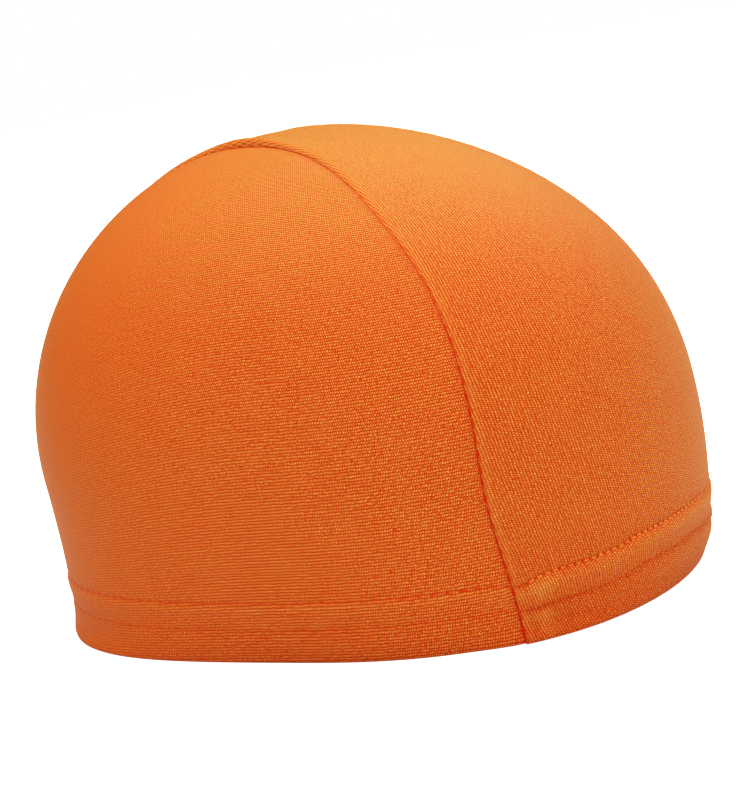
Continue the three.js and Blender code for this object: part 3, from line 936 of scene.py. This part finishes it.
hems = [
    (near_points, side_marks, -THREAD_SUNK), (far_points * MIRROR, side_marks, -THREAD_SUNK),
    (centre_points, centre_marks, THREAD_PROUD),
    (centre_points[::-1], flipped(centre_marks, 0), THREAD_PROUD),
]
needle_stitches = []
looper_stitches = []
for points, marks, upper_proud in hems:
    skin = points[HEM_OUTER, 1:-1]
    rows = marks["hem_rows"][HEM_OUTER, 1:-1]
    lines = [row_line(skin, rows[..., 1 + row], rows[..., 0]) for row in range(2)]
    turned_up = points[INNER_ROWS - 1::-1, 1:-1]
    turned_rows = marks["hem_rows"][INNER_ROWS - 1::-1, 1:-1]
    low_line, low_count = row_line(turned_up, turned_rows[..., 2], turned_rows[..., 0])
    raw_line, raw_count = turned_up[-1], turned_rows[-1, :, 0]
    counts = (lines[0][1], lines[1][1], low_count, raw_count)
    first, last = max(count.min() for count in counts), min(count.max() for count in counts)
    whole = np.arange(math.ceil(first), math.floor(last))
    for (line, count), proud in zip(lines, (upper_proud, -THREAD_SUNK)):
        start = at_count(line, count, whole + (1 - NEEDLE_SHARE) / 2)
        end = at_count(line, count, whole + (1 + NEEDLE_SHARE) / 2)
        out = level_out(start)
        needle_stitches += threads(start + out * proud, end + out * proud, out, THREAD)
    low = at_count(low_line, low_count, whole + 0.5)
    out = level_out(low)
    low = low - out * LOOPER / 2
    raw = at_count(raw_line, raw_count, whole) - out * LOOPER / 2
    top = at_count(*lines[0], whole) - out * (CLOTH + LOOPER / 2)
    looper_stitches += threads(raw, low, out, LOOPER)
    looper_stitches += threads(low[:-1], raw[1:], out, LOOPER)
    looper_stitches += threads(raw, top, out, LOOPER)
sewing_thread = thread_material()
stitched_piece("hem_needle_thread", needle_stitches, sewing_thread)
stitched_piece("hem_looper_thread", looper_stitches, sewing_thread)

# Seam allowances
# Inside each seam the two panels' edges are trimmed together, overlocked and pressed flat, which makes a
# strip of cloth with a zigzag of thread over it, from one turned-up hem to the other.
ALLOWANCE = 6.0  # width of the strip
ALLOWANCE_THICK = 0.9
ALLOWANCE_SINK = 1.45  # depth of its upper face below the cap's form
ALLOWANCE_STEPS = (240, 9)  # the mesh's rows along it and columns across it
STRIP_CLEAR = 1  # it ends this far above the turned-up hem
OVERLOCK_STEP = 2.8  # one zigzag, across and back
FAR = 99  # far from every row of stitches


def under_seam(share, aside, sink):
    """Points under the right seam, a distance inside the cap's form."""
    turn, climb = seam_at(share, aside)
    return dome_point(turn, climb) - outward(turn, climb) * sink


strip_ends = seam_share_at(TURN_UP + STRIP_CLEAR, False), seam_share_at(TURN_UP + STRIP_CLEAR, True)
share, aside = np.meshgrid(np.linspace(*strip_ends, ALLOWANCE_STEPS[0]),
                           np.linspace(ALLOWANCE / 2, -ALLOWANCE / 2, ALLOWANCE_STEPS[1]), indexing="ij")
strip_points = under_seam(share, aside, ALLOWANCE_SINK)
strip_uv = np.stack([np.interp(share, SEAM_SHARES, seam_length), aside], -1)
plain_mark = np.zeros(share.shape + (3,))
far_mark = plain_mark + (0, FAR, FAR)
strip_marks = {"hem_rows": far_mark, "seam_line": far_mark,
               "painted_light_and_nicks": plain_mark, "cloth_changes": plain_mark}
for name, points, step in (("seam_allowance_right", strip_points, 1),
                           ("seam_allowance_left", strip_points * MIRROR, -1)):
    strip = add_piece(name, panel_mesh(name, points[:, ::step], strip_uv[:, ::step], strip_marks), knit_cloth)
    thicken(strip, ALLOWANCE_THICK)

strip_run = np.interp(strip_ends, SEAM_SHARES, seam_length)
halves = np.interp(np.arange(strip_run[0] + STRIP_CLEAR, strip_run[1] - STRIP_CLEAR, OVERLOCK_STEP / 2),
                   seam_length, SEAM_SHARES)
edges = np.where(np.arange(len(halves)) % 2, ALLOWANCE / 2, -ALLOWANCE / 2)
zigzag = under_seam(halves, edges, ALLOWANCE_SINK + ALLOWANCE_THICK + LOOPER / 2)
above = under_seam(halves, edges, 0.0)
overlock_stitches = []
for side in (1, -1):
    turns, out = zigzag * (side, 1, 1), (above - zigzag) * (side, 1, 1)
    overlock_stitches += threads(turns[:-1], turns[1:], out, LOOPER)
stitched_piece("seam_overlock_thread", overlock_stitches, sewing_thread)

# Studio
# A pale floor that the camera sees as white, a white surround that gives little light, and three broad
# lights: a pale one overhead, a warm one from the front and a green one from the picture's right.
CAMERA_TURN, CAMERA_LIFT, CAMERA_ROLL = math.radians(-47.71), math.radians(12.03), math.radians(-10.47)
AIM = Vector((-4.3, -5.2, 49.4))  # what the camera looks at
CAMERA_AWAY = 498.4  # and how far it stands from there
LENS = 81.34  # focal length
FLOOR_SIZE = 4  # half its width, in metres
FLOOR_GREY = (0.86, 0.86, 0.86, 1)
FLOOR_GLOW = 0.97  # for the camera's own rays alone
SURROUND_LIGHT = 0.1
SURROUND_COLOUR = (1, 0.55, 0.35, 1)
WHITE = (1, 1, 1, 1)
SUN_SPREAD = math.radians(60)  # breadth of each light in the sky

camera = new_object("camera", bpy.data.cameras.new("camera"))
camera.matrix_world = (Matrix.Translation(AIM * MM) @ Matrix.Rotation(CAMERA_TURN, 4, "Z")
                       @ Matrix.Rotation(RIGHT_ANGLE - CAMERA_LIFT, 4, "X")
                       @ Matrix.Rotation(CAMERA_ROLL, 4, "Z") @ Matrix.Translation((0, 0, CAMERA_AWAY * MM)))
camera.data.lens = LENS
bpy.context.scene.camera = camera

bm = bmesh.new()
bmesh.ops.create_grid(bm, x_segments=1, y_segments=1, size=FLOOR_SIZE)
floor_mesh = bpy.data.meshes.new("floor")
bm.to_mesh(floor_mesh)
bm.free()
floor = new_object("floor", floor_mesh)
pale, pale_tree, pale_shader = new_material("pale_floor", roughness=0.9, specular=0.0, sheen=0.0,
                                            sheen_roughness=0.5, tint=WHITE)
pale_shader.inputs["Base Color"].default_value = FLOOR_GREY
pale_shader.inputs["Emission Color"].default_value = WHITE
camera_ray = pale_tree.nodes.new("ShaderNodeLightPath").outputs["Is Camera Ray"]
glow = math_node(pale_tree, "MULTIPLY", camera_ray, FLOOR_GLOW)
pale_tree.links.new(glow, pale_shader.inputs["Emission Strength"])
floor_mesh.materials.append(pale)

world = bpy.data.worlds.new("surround")
bpy.context.scene.world = world
world.use_nodes = True
tree = world.node_tree
lit = tree.nodes["Background"]
lit.inputs["Color"].default_value = SURROUND_COLOUR
lit.inputs["Strength"].default_value = SURROUND_LIGHT
seen = tree.nodes.new("ShaderNodeBackground")
seen.inputs["Color"].default_value = WHITE
camera_ray = tree.nodes.new("ShaderNodeLightPath").outputs["Is Camera Ray"]
either = tree.nodes.new("ShaderNodeMixShader")
for socket, value in zip(either.inputs, (camera_ray, lit.outputs[0], seen.outputs[0])):
    tree.links.new(value, socket)
tree.links.new(either.outputs[0], tree.nodes["World Output"].inputs["Surface"])


def soft_sun(name, towards, strength, colour):
    """A distant light as broad as a large softbox."""
    data = bpy.data.lights.new(name, "SUN")
    data.energy = strength
    data.angle = SUN_SPREAD
    data.color = colour
    light = new_object(name, data)
    light.rotation_mode = "QUATERNION"
    light.rotation_quaternion = Vector(towards).to_track_quat("Z", "Y")


soft_sun("overhead_light", towards=(0, 0, 1), strength=2.42, colour=(0.97, 0.97, 0.78))
soft_sun("front_light", towards=(-0.38, -0.56, 0.73), strength=1.05, colour=(1, 0.5, 0.3))
soft_sun("right_light", towards=(0.72, -0.1, 0.68), strength=1.8, colour=(0.26, 0.9, 0.7))
bpy.context.scene.view_settings.view_transform = "Standard"
